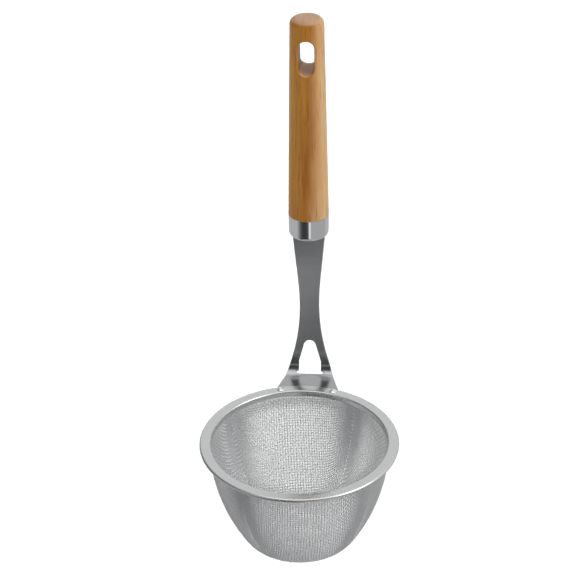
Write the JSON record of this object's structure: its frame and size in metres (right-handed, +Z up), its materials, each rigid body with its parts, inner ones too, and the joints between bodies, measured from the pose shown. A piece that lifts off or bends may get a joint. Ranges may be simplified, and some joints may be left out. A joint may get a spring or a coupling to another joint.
{
  "type": "tea strainer",
  "caption": "Hand tea strainer: deep woven wire bowl on a flat hemmed rim, riveted to a bent, waisted neck plate with a tapered wooden grip and hanging slot.",
  "frame": {"origin": "centre of the rim, in the plane of the rim's flat underside, where it sits on a vessel", "axes": "+Z up along the bowl's axis, out of its mouth; +Y from the bowl towards the handle; +X to the right seen from the bowl's side"},
  "size_m": [0.104, 0.1316, 0.2662],
  "materials": {
    "wood": "honey varnish on turned beech",
    "ferrule": "bright polished steel",
    "neck": "satin stainless sheet",
    "filler": "set resin",
    "rim": "satin stainless sheet",
    "clamp": "plain stainless sheet",
    "mesh": "plain woven stainless wire",
    "rivet": "bright rivet heads"
  },
  "bodies": {
    "root": {"grip": "wood", "ferrule": "ferrule", "neck_plate": "neck", "tang_filler": "filler", "rim_ring": "rim", "clamp_ring": "clamp", "mesh_basket": "mesh", "rivets": "rivet"}
  },
  "joints": []
}
